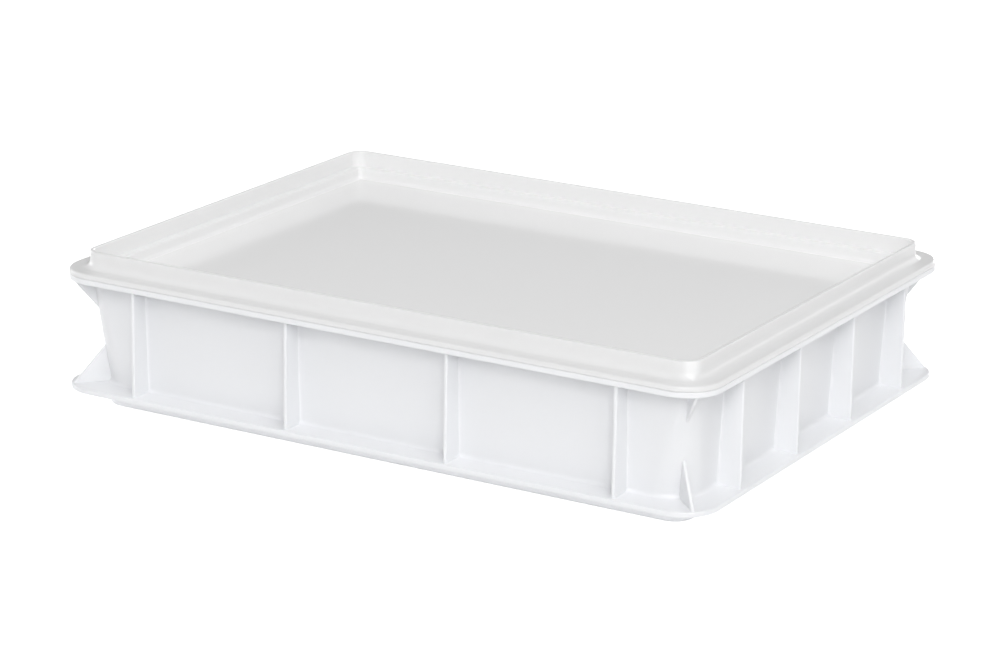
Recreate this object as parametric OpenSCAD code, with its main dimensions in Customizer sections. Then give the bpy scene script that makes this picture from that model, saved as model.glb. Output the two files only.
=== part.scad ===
// Stackable dough proofing box with a lift-off lid, both injection moulded.
// The origin is at the middle of the foot, on the surface the box stands on.
// X runs along the long sides, Y along the short sides and Z points up.

/* [Footprint] */
// Length of the box rim and of the lid over their outer edges
rim_length = 400; // [320:1:600]
// Width of the box rim and of the lid over their outer edges
rim_width = 300; // [240:1:400]
// Radius of the rim's and the lid's corners, seen from above
rim_corner = 21; // [20:0.5:30]

/* [Box] */
// Height of the box without its lid
box_height = 76; // [64:1:140]
// Thickness of the walls and the floor
wall = 2.4; // [2:0.1:3]
// Lean of the walls, in degrees, which makes the box narrower towards its floor
draft = 2.5; // [1:0.1:4]
// Radius of the walls' corners at the floor, seen from above on the outside
floor_corner = 20; // [18:0.5:26]
// Radius between the walls and the floor, seen from the side on the outside
floor_bend = 20; // [19:0.5:22]

/* [Rim] */
// How far the rim stands out from the walls
rim_reach = 13; // [11:0.5:14]
// Thickness of the rim
rim_thick = 3.2; // [2.6:0.1:4]
// Radius of the rim's outer edges
rim_edge = 0.6; // [0.3:0.1:1]
// Radius of the hollow between the rim's underside and the walls
rim_hollow = 1.5; // [0.8:0.1:2.5]

/* [Base] */
// How far the base flange stands out beyond the rim, on every side
base_lip = 0; // [0:0.5:5]
// Thickness of the base flange
base_thick = 2.9; // [2:0.1:4]
// Radius of the base flange's outer edges
base_edge = 0.6; // [0.3:0.1:1]
// Radius of the hollow between the base flange's top and the walls
base_hollow = 2.5; // [1:0.1:3]
// Height of the foot ring below the base flange
foot_height = 10; // [7:0.1:11]
// Gap between the foot ring and the collar of the lid beneath it in a stack, all round
foot_gap = 4.2; // [3.8:0.1:6]
// Radius of the foot ring's corners, seen from above on the outside
foot_corner = 12; // [8:0.5:16]
// Thickness of the foot ring
foot_wall = 3; // [2:0.1:4]
// Radius of the foot ring's lower outer edge
foot_edge = 1.2; // [0.3:0.1:1.5]
// Gap between the floor and the surface that the foot ring stands on
floor_gap = 0.8; // [0.4:0.1:2]

/* [Ribs] */
// Number of ribs on each long side
long_ribs = 4; // [2:1:7]
// Number of ribs on each short side
short_ribs = 4; // [2:1:5]
// Distance from the middle of the outermost ribs to the rim's end
rib_end = 50.7; // [44:0.1:60]
// Thickness of a rib at its free edge
rib_thick = 2.2; // [1.6:0.1:3]
// How far the ribs' free edges stand in from the rim's edge
rib_setback = 2.3; // [1:0.1:4]
// Radius of the hollows between a rib and the walls
rib_hollow = 1.2; // [0.6:0.1:2]
// Radius of the free edges of the ribs and the corner webs
rib_edge = 0.9; // [0.3:0.1:1]
// Thickness of the diagonal webs at the corners
web_thick = 2; // [1.4:0.1:3]
// How far the upper corner webs reach down below the rim
upper_web = 18; // [10:0.5:22]
// How far the lower corner webs reach up above the base flange
lower_web = 21.5; // [10:0.5:24]
// How far the corner webs end short of the rim's and the base flange's edge
web_setback = 1; // [0.8:0.1:3]

/* [Lid] */
// Thickness of the lid's flange
lid_flange = 3; // [2.4:0.1:4]
// Radius of the lid flange's upper outer edge
lid_edge = 1.5; // [0.6:0.1:1.8]
// Radius of the lid flange's lower outer edge
lid_seat_edge = 0.4; // [0.2:0.1:0.6]
// Distance from the lid flange's edge to the outside of its collar
collar_setback = 11.5; // [10:0.1:13]
// Height of the collar above the lid flange
collar_height = 9.5; // [7:0.1:13]
// Thickness of the collar
collar_wall = 2.3; // [1.8:0.1:2.8]
// Radius of the collar's upper edges
collar_edge = 0.8; // [0.3:0.1:0.8]
// Radius of the hollow between the collar and the lid flange
collar_hollow = 4; // [2:0.1:5]
// Gap between the lid's plug and the inside of the box, all round
plug_gap = 1; // [0.8:0.1:1.4]
// Thickness of the plug's wall
plug_wall = 1.8; // [1.4:0.1:2.4]
// Depth of the lid's panel below its flange
panel_depth = 6.6; // [5:0.1:9]
// Thickness of the lid's panel
panel_thick = 2.4; // [1.8:0.1:3]
// Radius of the hollow between the plug and the panel
panel_hollow = 2.2; // [1:0.1:3]
// Radius of the plug's lower outer edge
plug_edge = 3.2; // [1:0.1:3.4]

/* [Hidden] */

// Steps in a quarter turn of a wall's corner, of the floor's bend and of a small radius
corner_steps = 12;
bend_steps = 8;
edge_steps = 5;
$fn = 96;

// How deep joined parts run into each other, and how far a cut runs past a face
bite = 1;

// How far a web's tip ends inside the wall, and how much of a fin's thickness one round edge may take
tip_bite = 0.2;
edge_share = 0.45;

// Least flat stretch that a round edge leaves in the lid's section
least_flat = 0.4;

// The corner axes: the rim, the base flange and the lid all turn their corners about them
axis_x = rim_length / 2 - rim_corner;
axis_y = rim_width / 2 - rim_corner;

// Heights of the box
base_top = foot_height + base_thick;
base_middle = foot_height + base_thick / 2;
rim_under = box_height - rim_thick;
rim_middle = box_height - rim_thick / 2;
bend_top = floor_gap + floor_bend;

// Heights of the lid, as it lies on the box
seat = box_height;
lid_top = seat + lid_flange;
collar_top = lid_top + collar_height;
panel_top = lid_top - panel_depth;
panel_under = panel_top - panel_thick;

// Foot ring over its outer faces
foot_inset = collar_setback + collar_wall + foot_gap;
foot_length = rim_length - 2 * foot_inset;
foot_width = rim_width - 2 * foot_inset;

// Outside radius of the walls' corners at the rim, kept from there down past the lid's plug
rim_wall_corner = rim_corner - rim_reach;
even_down_to = panel_under - bite;

// How far the walls have leaned in at a height, counted from the rim's top
function lean(z) = (box_height - z) * tan(draft);

// Outer face of the walls at a height, from the middle of a box of this length or width
function wall_face(size, z) = size / 2 - rim_reach - lean(z);

// Outside radius of the walls' corners at a height: it grows towards the floor
function wall_corner(z) =
    let (down = (even_down_to - z) / (even_down_to - bend_top))
    rim_wall_corner + (floor_corner - rim_wall_corner) * min(1, max(0, down));

// Points of an arc from one angle to another
function arc(x, y, radius, from, to) =
    [for (i = [0 : edge_steps]) let (a = from + (to - from) * i / edge_steps)
        [x + radius * cos(a), y + radius * sin(a)]];

// Ring of points round the walls as they are at height z, moved in by a distance
// and laid at a level
function wall_ring(z, moved_in, level) =
    let (corner = max(0.5, wall_corner(z) - moved_in))
    let (x = wall_face(rim_length, z) - moved_in - corner)
    let (y = wall_face(rim_width, z) - moved_in - corner)
    [for (quarter = [0 : 3], i = [0 : corner_steps])
        let (a = 90 * (quarter + i / corner_steps))
        [(quarter % 3 == 0 ? x : -x) + corner * cos(a),
         (quarter < 2 ? y : -y) + corner * sin(a),
         level]];

// Rings of the bend between floor and walls, from the floor up to an angle of the bend
function bend_rings(moved_in, angle) =
    let (radius = floor_bend - moved_in)
    [for (i = [0 : bend_steps]) let (a = 90 + (angle - 90) * i / bend_steps)
        wall_ring(bend_top, moved_in + radius * (1 - cos(a)), bend_top - radius * sin(a))];

// Rings that widen the walls in a hollow radius: up from the base, or up to the rim
function base_rings() =
    [for (i = [0 : edge_steps]) let (a = 90 * i / edge_steps)
        let (z = base_top + base_hollow * (1 - cos(a)))
        wall_ring(z, -base_hollow * (1 - sin(a)), z)];
function rim_rings() =
    [for (i = [0 : edge_steps]) let (a = 90 * i / edge_steps)
        let (z = rim_under - rim_hollow * (1 - sin(a)))
        wall_ring(z, -rim_hollow * (1 - cos(a)), z)];

// Solid through rings of points that lie one above the other
module loft(rings) {
    count = len(rings[0]);
    last = len(rings) - 1;
    polyhedron(
        points = [for (ring = rings) each ring],
        faces = concat(
            [[for (i = [0 : count - 1]) i]],
            [for (k = [0 : last - 1], i = [0 : count - 1])
                let (j = (i + 1) % count)
                each [[k * count + i, (k + 1) * count + i, (k + 1) * count + j],
                      [k * count + i, (k + 1) * count + j, k * count + j]]],
            [[for (i = [count - 1 : -1 : 0]) last * count + i]]));
}

// Carries a section round the four corner axes. The section's x is the distance outwards
// from the axes, and its y is the height.
module carry_round(x, y) {
    for (turn = [0, 180]) rotate([0, 0, turn]) {
        side_and_corner(x, y) children();
        rotate([0, 0, 90]) side_and_corner(y, x) children();
    }
}

// One straight side of a carried section, and the corner at its end
module side_and_corner(out, along) {
    translate([out, along, 0]) {
        rotate([90, 0, 0]) linear_extrude(2 * along) children();
        rotate_extrude(angle = 90) children();
    }
}

// Flat plate with round corners and round outer edges, reaching out from the corner axes
module flange(reach, bottom, top, edge) {
    carry_round(axis_x, axis_y) polygon(concat(
        [[0, bottom]],
        arc(reach - edge, bottom + edge, edge, -90, 0),
        arc(reach - edge, top - edge, edge, 0, 90),
        [[0, top]]));
    translate([-axis_x, -axis_y, bottom]) cube([2 * axis_x, 2 * axis_y, top - bottom]);
}

// Outside of the tub, filled: floor, bend and leaning walls, widened at both flanges
module tub_outside() {
    angle = asin((bend_top - base_middle) / floor_bend);
    loft(concat(
        bend_rings(0, angle),
        [wall_ring(base_middle, -base_hollow, base_middle)],
        base_rings(),
        [wall_ring(even_down_to, 0, even_down_to)],
        rim_rings(),
        [wall_ring(rim_middle, -rim_hollow, rim_middle)]));
}

// Room inside the tub, open at the top
module tub_inside() {
    loft(concat(
        bend_rings(wall, 0),
        [for (z = [even_down_to, box_height + bite]) wall_ring(z, wall, z)]));
}

// Ring below the base flange, which stands in the collar of the lid beneath
module foot_ring() {
    carry_round(foot_length / 2 - foot_corner, foot_width / 2 - foot_corner) polygon(concat(
        [[foot_corner - foot_wall, 0]],
        arc(foot_corner - foot_edge, foot_edge, foot_edge, -90, 0),
        [[foot_corner, base_middle], [foot_corner - foot_wall, base_middle]]));
}

// Outline of a fin at height z, seen from above: it points along X, out of a root given by
// the points of its -Y side, and both corners of its free edge are round
function fin_outline(root, edge, thick, z) =
    let (radius = min(rib_edge, edge_share * thick))
    let (turn = thick / 2 - radius)
    [for (p = concat(
        root,
        arc(edge - radius, -turn, radius, -90, 0),
        arc(edge - radius, turn, radius, 0, 90),
        [for (i = [len(root) - 1 : -1 : 0]) [root[i][0], -root[i][1]]]))
        [p[0], p[1], z]];

// Outline of a rib at height z, on a wall of a box of this size: it widens in a hollow radius
// where it meets the wall
function rib_outline(size, z) =
    let (face = wall_face(size, z))
    let (side = -rib_thick / 2 - rib_hollow)
    let (hollow = arc(face + rib_hollow, side, rib_hollow, 180, 90))
    fin_outline(concat([[face - bite, side]], hollow), size / 2 - rib_setback, rib_thick, z);

// Ribs along two opposite walls, from the base flange up to the rim
module rib_rows(size, along, count) {
    pitch = (along - 2 * rib_end) / (count - 1);
    for (turn = [0, 180], i = [0 : count - 1])
        rotate([0, 0, turn]) translate([0, rib_end - along / 2 + i * pitch, 0])
            loft([for (z = [base_middle, rim_middle]) rib_outline(size, z)]);
}

// Distance of the walls' corners from the corner axes, along the diagonal
function web_root(z) =
    let (corner = wall_corner(z))
    sqrt(2) * (rim_wall_corner - lean(z) - corner) + corner;

// Outline of a corner web at height z, out to an edge at a distance from the corner axis
function web_outline(edge, z) =
    fin_outline([[web_root(z) - 2 * bite, -web_thick / 2]], edge, web_thick, z);

// Two triangular webs on the diagonal of one corner, under the rim and on the base flange
module corner_webs() {
    upper_edge = rim_corner - web_setback;
    lower_edge = rim_corner + base_lip - web_setback;
    upper_end = rim_under - upper_web;
    lower_end = base_top + lower_web;
    loft([
        web_outline(web_root(upper_end) - tip_bite, upper_end),
        web_outline(upper_edge, rim_under),
        web_outline(upper_edge, rim_middle)]);
    loft([
        web_outline(lower_edge, base_middle),
        web_outline(lower_edge, base_top),
        web_outline(web_root(lower_end) - tip_bite, lower_end)]);
}

// Webs at all four corners
module all_corner_webs() {
    for (x = [-1, 1], y = [-1, 1])
        translate([x * axis_x, y * axis_y, 0]) rotate([0, 0, atan2(y, x)]) corner_webs();
}

module proofing_box() {
    color("#eef2f8") difference() {
        union() {
            tub_outside();
            flange(rim_corner, rim_under, box_height, rim_edge);
            flange(rim_corner + base_lip, foot_height, base_top, base_edge);
            foot_ring();
            rotate([0, 0, 90]) rib_rows(rim_width, rim_length, long_ribs);
            rib_rows(rim_length, rim_width, short_ribs);
            all_corner_webs();
        }
        tub_inside();
    }
}

// Section of the lid from the corner axes outwards: panel, plug, flange and collar
module lid_section() {
    plug_out = rim_wall_corner - wall - plug_gap;
    plug_in = plug_out - plug_wall;
    plug_bend = min(plug_edge, plug_out - least_flat);
    panel_bend = min(panel_hollow, plug_in - least_flat);
    collar_out = rim_corner - collar_setback;
    collar_in = collar_out - collar_wall;
    polygon(concat(
        [[0, panel_under]],
        arc(plug_out - plug_bend, panel_under + plug_bend, plug_bend, -90, 0),
        [[plug_out, seat]],
        arc(rim_corner - lid_seat_edge, seat + lid_seat_edge, lid_seat_edge, -90, 0),
        arc(rim_corner - lid_edge, lid_top - lid_edge, lid_edge, 0, 90),
        arc(collar_out + collar_hollow, lid_top + collar_hollow, collar_hollow, 270, 180),
        arc(collar_out - collar_edge, collar_top - collar_edge, collar_edge, 0, 90),
        arc(collar_in + collar_edge, collar_top - collar_edge, collar_edge, 90, 180),
        [[collar_in, lid_top]],
        arc(plug_in + collar_edge, lid_top - collar_edge, collar_edge, 90, 180),
        arc(plug_in - panel_bend, panel_top + panel_bend, panel_bend, 0, -90),
        [[0, panel_top]]));
}

module lid() {
    color("#f3f2ee") {
        carry_round(axis_x, axis_y) lid_section();
        translate([-axis_x, -axis_y, panel_under])
            cube([2 * axis_x, 2 * axis_y, panel_thick]);
    }
}

proofing_box();
lid();
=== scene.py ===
# A dough proofing box with its lid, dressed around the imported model.
import math

import bpy
from mathutils import Matrix, Vector


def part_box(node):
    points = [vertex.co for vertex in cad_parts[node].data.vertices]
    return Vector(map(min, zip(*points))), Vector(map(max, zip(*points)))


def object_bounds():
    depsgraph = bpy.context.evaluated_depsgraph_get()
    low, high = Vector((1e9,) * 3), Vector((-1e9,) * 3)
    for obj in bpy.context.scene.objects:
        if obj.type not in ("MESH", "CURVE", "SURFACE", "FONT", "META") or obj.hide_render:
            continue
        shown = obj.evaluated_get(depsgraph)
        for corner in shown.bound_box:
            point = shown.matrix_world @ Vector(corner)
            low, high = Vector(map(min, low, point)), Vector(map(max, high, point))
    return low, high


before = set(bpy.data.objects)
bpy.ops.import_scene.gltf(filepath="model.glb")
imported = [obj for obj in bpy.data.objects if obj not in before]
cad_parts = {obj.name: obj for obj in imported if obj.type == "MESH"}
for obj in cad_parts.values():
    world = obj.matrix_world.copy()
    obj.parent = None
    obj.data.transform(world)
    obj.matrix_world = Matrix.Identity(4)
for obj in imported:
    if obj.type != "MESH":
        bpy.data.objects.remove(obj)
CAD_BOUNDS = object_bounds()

MM = 0.001

# The photograph's camera: where it stands round the object, and what it looks at
CAMERA_AZIMUTH = math.radians(30.17)
CAMERA_ELEVATION = math.radians(16.99)
CAMERA_ROLL = math.radians(0.94)
CAMERA_DISTANCE = 1948.8 * MM
CAMERA_TARGET = Vector((-2.516, -2.316, 37.585)) * MM
CAMERA_LENS = 125.52
CAMERA_SENSOR = 36.0
CAMERA_CLIP_START = 0.05
CAMERA_CLIP_END = 50.0

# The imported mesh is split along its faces: points this close are joined again, and edges
# gentler than this angle are shaded smooth
JOIN_DISTANCE = 0.01 * MM
SMOOTH_ANGLE = math.radians(28)

# The lid is satin, but its panel is glossy. Everything inside its collar gets painted light:
# it is made paler than the lid's own colour, the panel most, standing in for light that shines
# through the thin translucent lid. Both are told apart by how far they lie in from the lid's
# edge.
PANEL_INSET = 20 * MM
INSIDE_INSET = 13 * MM
INSET_FADE = 1.2 * MM

# Plastic, in linear colour
LID_COLOUR = (0.790, 0.790, 0.791)
# Painted light: how much paler the lid is made inside its collar, and on its panel
INSIDE_PAINTED_LIGHT = 1.11
PANEL_PAINTED_LIGHT = 1.19
BOX_COLOUR = (0.834, 0.841, 0.858)
PLASTIC_IOR = 1.5
BOX_ROUGHNESS = 0.30
LID_ROUGHNESS = 0.30
PANEL_ROUGHNESS = 0.12

# Painted shade: a dark line along the lid's seat on the rim, standing in for the shade in the
# joint between lid and box. It fades out over the upper half of its rise
SEAM_PAINTED_SHADE = 0.86
SEAM_RISE = 0.6 * MM

# Unevenness of each moulding: the scales of its colour clouds, of its roughness patches and
# of its grain, and the grain's depth
BOX_TEXTURE = (9.0, 16.0, 1800.0, 0.02 * MM)
LID_TEXTURE = (7.0, 14.0, 1500.0, 0.015 * MM)
CLOUD_DETAIL = 3.0
CLOUD_SHADES = (0.996, 1.003)
ROUGHNESS_SWING = 0.01
# What most of a noise texture lies between
NOISE_RANGE = (0.3, 0.7)

# Even light from all round
WORLD_STRENGTH = 0.327

# Square softboxes, all at one distance and aimed at the object: degrees round it from the
# front towards the right, degrees up, and watts
SOFTBOX_DISTANCE = 5.0
SOFTBOX_SIZE = 2.1
SOFTBOX_AIM = Vector((0, 0, 40)) * MM
SOFTBOXES = {
    "front_right_softbox": (30, 30, 94.0),
    "right_softbox": (60, 30, 25.0),
    "left_softbox": (-60, 30, 21.5),
    "low_left_softbox": (-90, 6, 69.0),
    "low_back_softbox": (180, 6, 104.0),
    "back_softbox": (145, 30, 21.0),
    "top_softbox": (45, 60, 50.5),
}

# Bounce strips between the floor and the base flange, a little in from the flange's edge,
# which face inwards and light the foot ring from its four sides
STRIP_HEIGHT = 7 * MM
STRIP_LEVEL = 4.5 * MM
STRIP_INSET = 6 * MM
STRIP_GLOW = 0.75

# The floor takes the object's shadow, and its glow lifts it to the photograph's white
FLOOR_COLOUR = (0.90, 0.90, 0.90)
FLOOR_GLOW = 0.70
FLOOR_REACH = 12.0


def direction(azimuth, elevation):
    """Unit vector away from the object, turned from the front towards the right, and up."""
    level = math.cos(elevation)
    return Vector((math.sin(azimuth) * level, -math.cos(azimuth) * level, math.sin(elevation)))


def make_camera():
    data = bpy.data.cameras.new("photo_camera")
    data.lens = CAMERA_LENS
    data.sensor_width = CAMERA_SENSOR
    data.clip_start = CAMERA_CLIP_START
    data.clip_end = CAMERA_CLIP_END
    camera = bpy.data.objects.new("photo_camera", data)
    bpy.context.scene.collection.objects.link(camera)
    back = direction(CAMERA_AZIMUTH, CAMERA_ELEVATION)
    right = Vector((math.cos(CAMERA_AZIMUTH), math.sin(CAMERA_AZIMUTH), 0))
    up = back.cross(right)
    turned = math.cos(CAMERA_ROLL) * right + math.sin(CAMERA_ROLL) * up
    upright = back.cross(turned)
    rotation = Matrix((turned, upright, back)).transposed().to_4x4()
    place = Matrix.Translation(CAMERA_TARGET + back * CAMERA_DISTANCE)
    camera.matrix_world = place @ rotation
    bpy.context.scene.camera = camera


class Shader:
    """A material's node tree, with short calls to add and join nodes."""

    def __init__(self, name):
        self.material = bpy.data.materials.new(name)
        self.material.use_nodes = True
        self.nodes = self.material.node_tree.nodes
        self.links = self.material.node_tree.links
        self.nodes.clear()
        self.output = self.add("ShaderNodeOutputMaterial")

    def add(self, kind, **values):
        node = self.nodes.new(kind)
        for name, value in values.items():
            setattr(node, name, value)
        return node

    def feed(self, socket, source):
        """Link a socket to another node's output, or give it a plain value."""
        if isinstance(source, bpy.types.NodeSocket):
            self.links.new(source, socket)
        else:
            socket.default_value = source

    def place(self):
        return self.add("ShaderNodeTexCoord").outputs["Object"]

    def noise(self, scale, detail=2.0):
        node = self.add("ShaderNodeTexNoise")
        self.feed(node.inputs["Vector"], self.place())
        self.feed(node.inputs["Scale"], scale)
        self.feed(node.inputs["Detail"], detail)
        return node.outputs["Fac"]

    def spread(self, source, low, high, start=0.0, end=1.0):
        """Low where the source is at its start or under, high at its end or over."""
        node = self.add("ShaderNodeMapRange")
        self.feed(node.inputs["Value"], source)
        self.feed(node.inputs["From Min"], start)
        self.feed(node.inputs["From Max"], end)
        self.feed(node.inputs["To Min"], low)
        self.feed(node.inputs["To Max"], high)
        return node.outputs["Result"]

    def math(self, operation, *sources):
        node = self.add("ShaderNodeMath", operation=operation)
        for socket, source in zip(node.inputs, sources):
            self.feed(socket, source)
        return node.outputs["Value"]

    def tint(self, colour, value):
        node = self.add("ShaderNodeVectorMath", operation="SCALE")
        self.feed(node.inputs["Vector"], colour)
        self.feed(node.inputs["Scale"], value)
        return node.outputs["Vector"]

    def bump(self, height, distance):
        node = self.add("ShaderNodeBump")
        self.feed(node.inputs["Strength"], 1.0)
        self.feed(node.inputs["Distance"], distance)
        self.feed(node.inputs["Height"], height)
        return node.outputs["Normal"]

    def satin(self, texture, roughness):
        """The colour's shade, the roughness and the normal of an uneven satin surface."""
        cloud_scale, patch_scale, grain_scale, grain_depth = texture
        shade = self.spread(self.noise(cloud_scale, CLOUD_DETAIL), *CLOUD_SHADES, *NOISE_RANGE)
        ends = (roughness - ROUGHNESS_SWING, roughness + ROUGHNESS_SWING)
        patches = self.spread(self.noise(patch_scale), *ends, *NOISE_RANGE)
        return shade, patches, self.bump(self.noise(grain_scale), grain_depth)

    def plastic(self, colour, roughness, normal):
        node = self.add("ShaderNodeBsdfPrincipled")
        self.feed(node.inputs["Base Color"], colour)
        self.feed(node.inputs["Roughness"], roughness)
        self.feed(node.inputs["Normal"], normal)
        node.inputs["IOR"].default_value = PLASTIC_IOR
        self.feed(self.output.inputs["Surface"], node.outputs["BSDF"])


def box_plastic():
    shader = Shader("proofing_box_plastic")
    shade, roughness, normal = shader.satin(BOX_TEXTURE, BOX_ROUGHNESS)
    shader.plastic(shader.tint(BOX_COLOUR, shade), roughness, normal)
    return shader.material


def lid_plastic():
    shader = Shader("lid_plastic")
    shade, patches, normal = shader.satin(LID_TEXTURE, LID_ROUGHNESS)
    place = shader.add("ShaderNodeSeparateXYZ")
    shader.feed(place.inputs["Vector"], shader.place())
    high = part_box("lid")[1]
    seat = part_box("proofing_box")[1][2]
    gaps = [
        shader.math("SUBTRACT", high[axis], shader.math("ABSOLUTE", place.outputs[axis]))
        for axis in (0, 1)
    ]
    inset = shader.math("MINIMUM", *gaps)
    on_panel = shader.spread(inset, 0.0, 1.0, PANEL_INSET, PANEL_INSET + INSET_FADE)
    # Painted light: the inside of the collar and the panel are made paler, standing in for
    # light through the thin lid
    inside = shader.spread(inset, 1.0, INSIDE_PAINTED_LIGHT, INSIDE_INSET - INSET_FADE, INSIDE_INSET)
    painted_light_lift = shader.spread(on_panel, inside, PANEL_PAINTED_LIGHT)

    # Painted shade for the joint: it covers the flange's hidden underside too, and shows only
    # as a line along the lower part of the flange's edge
    above_seat = shader.math("SUBTRACT", place.outputs["Z"], seat)
    past_collar = shader.math("SUBTRACT", inset, INSIDE_INSET)
    off_seam = shader.math("MAXIMUM", above_seat, past_collar)
    seam_painted_shade = shader.spread(off_seam, SEAM_PAINTED_SHADE, 1.0, SEAM_RISE / 2, SEAM_RISE)
    # Painted shade: the lid is darkened along its seat on the rim
    shade = shader.math("MULTIPLY", shade, seam_painted_shade)
    colour = shader.tint(LID_COLOUR, shader.math("MULTIPLY", shade, painted_light_lift))
    roughness = shader.spread(on_panel, patches, PANEL_ROUGHNESS)
    shader.plastic(colour, roughness, normal)
    return shader.material


def dress(node, material):
    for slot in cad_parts[node].material_slots:
        slot.material = material


def smooth_group():
    """Geometry nodes that join the mesh's split points and shade it smooth up to an angle."""
    group = bpy.data.node_groups.new("smooth_by_angle", "GeometryNodeTree")
    for in_out in ("INPUT", "OUTPUT"):
        group.interface.new_socket("Geometry", in_out=in_out, socket_type="NodeSocketGeometry")
    nodes, links = group.nodes, group.links
    start = nodes.new("NodeGroupInput")
    merge = nodes.new("GeometryNodeMergeByDistance")
    merge.inputs["Distance"].default_value = JOIN_DISTANCE
    forget = nodes.new("GeometryNodeRemoveAttribute")
    forget.inputs["Name"].default_value = "custom_normal"
    edge_angle = nodes.new("GeometryNodeInputMeshEdgeAngle")
    gentle = nodes.new("FunctionNodeCompare")
    gentle.data_type = "FLOAT"
    gentle.operation = "LESS_EQUAL"
    gentle.inputs["B"].default_value = SMOOTH_ANGLE
    edges = nodes.new("GeometryNodeSetShadeSmooth")
    edges.domain = "EDGE"
    faces = nodes.new("GeometryNodeSetShadeSmooth")
    faces.domain = "FACE"
    end = nodes.new("NodeGroupOutput")
    links.new(start.outputs[0], merge.inputs["Geometry"])
    links.new(merge.outputs["Geometry"], forget.inputs["Geometry"])
    links.new(forget.outputs["Geometry"], edges.inputs["Geometry"])
    links.new(edge_angle.outputs["Unsigned Angle"], gentle.inputs["A"])
    links.new(gentle.outputs["Result"], edges.inputs["Shade Smooth"])
    links.new(edges.outputs["Geometry"], faces.inputs["Geometry"])
    links.new(faces.outputs["Geometry"], end.inputs[0])
    return group


def smooth(node, group):
    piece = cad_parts[node]
    joined = piece.modifiers.new("smooth_by_angle", "NODES")
    joined.node_group = group
    weighted = piece.modifiers.new("weighted_normals", "WEIGHTED_NORMAL")
    weighted.keep_sharp = True


def floor_white():
    """Matt, with a glow that only the camera, reflections and refractions see."""
    shader = Shader("floor_white")
    matt = shader.add("ShaderNodeBsdfDiffuse")
    shader.feed(matt.inputs["Color"], (*FLOOR_COLOUR, 1))
    glow = shader.add("ShaderNodeEmission")
    path = shader.add("ShaderNodeLightPath")
    seen = shader.math("MAXIMUM", path.outputs["Is Camera Ray"], path.outputs["Is Glossy Ray"])
    seen = shader.math("MAXIMUM", seen, path.outputs["Is Transmission Ray"])
    shader.feed(glow.inputs["Strength"], shader.math("MULTIPLY", seen, FLOOR_GLOW))
    both = shader.add("ShaderNodeAddShader")
    shader.feed(both.inputs[0], matt.outputs["BSDF"])
    shader.feed(both.inputs[1], glow.outputs["Emission"])
    shader.feed(shader.output.inputs["Surface"], both.outputs["Shader"])
    return shader.material


def make_floor():
    mesh = bpy.data.meshes.new("floor")
    r = FLOOR_REACH
    mesh.from_pydata([(-r, -r, 0), (r, -r, 0), (r, r, 0), (-r, r, 0)], [], [(0, 1, 2, 3)])
    mesh.materials.append(floor_white())
    floor = bpy.data.objects.new("floor", mesh)
    bpy.context.scene.collection.objects.link(floor)


def make_lamp(name, place, facing, size, power):
    data = bpy.data.lights.new(name, "AREA")
    data.shape = "RECTANGLE"
    data.size, data.size_y = size
    data.energy = power
    lamp = bpy.data.objects.new(name, data)
    bpy.context.scene.collection.objects.link(lamp)
    lamp.location = place
    lamp.rotation_euler = facing.to_track_quat("-Z", "Y").to_euler()
    lamp.visible_camera = False


def make_softboxes():
    for name, (azimuth, elevation, power) in SOFTBOXES.items():
        away = direction(math.radians(azimuth), math.radians(elevation))
        place = SOFTBOX_AIM + away * SOFTBOX_DISTANCE
        make_lamp(name, place, -away, (SOFTBOX_SIZE, SOFTBOX_SIZE), power)


def make_strips():
    half_length, half_width = CAD_BOUNDS[1][0], CAD_BOUNDS[1][1]
    sides = {
        "front_strip": (Vector((0, -1, 0)), half_width, half_length),
        "back_strip": (Vector((0, 1, 0)), half_width, half_length),
        "left_strip": (Vector((-1, 0, 0)), half_length, half_width),
        "right_strip": (Vector((1, 0, 0)), half_length, half_width),
    }
    for name, (away, reach, half) in sides.items():
        place = away * (reach - STRIP_INSET) + Vector((0, 0, STRIP_LEVEL))
        size = (2 * (half - STRIP_INSET), STRIP_HEIGHT)
        power = STRIP_GLOW * math.pi * size[0] * size[1]
        make_lamp(name, place, -away, size, power)


def make_world():
    world = bpy.data.worlds.new("studio")
    world.use_nodes = True
    background = world.node_tree.nodes["Background"]
    background.inputs["Color"].default_value = (1, 1, 1, 1)
    background.inputs["Strength"].default_value = WORLD_STRENGTH
    bpy.context.scene.world = world


make_camera()
dress("proofing_box", box_plastic())
dress("lid", lid_plastic())
smoothing = smooth_group()
smooth("proofing_box", smoothing)
smooth("lid", smoothing)
make_floor()
make_world()
make_softboxes()
make_strips()
bpy.context.scene.view_settings.view_transform = "Standard"
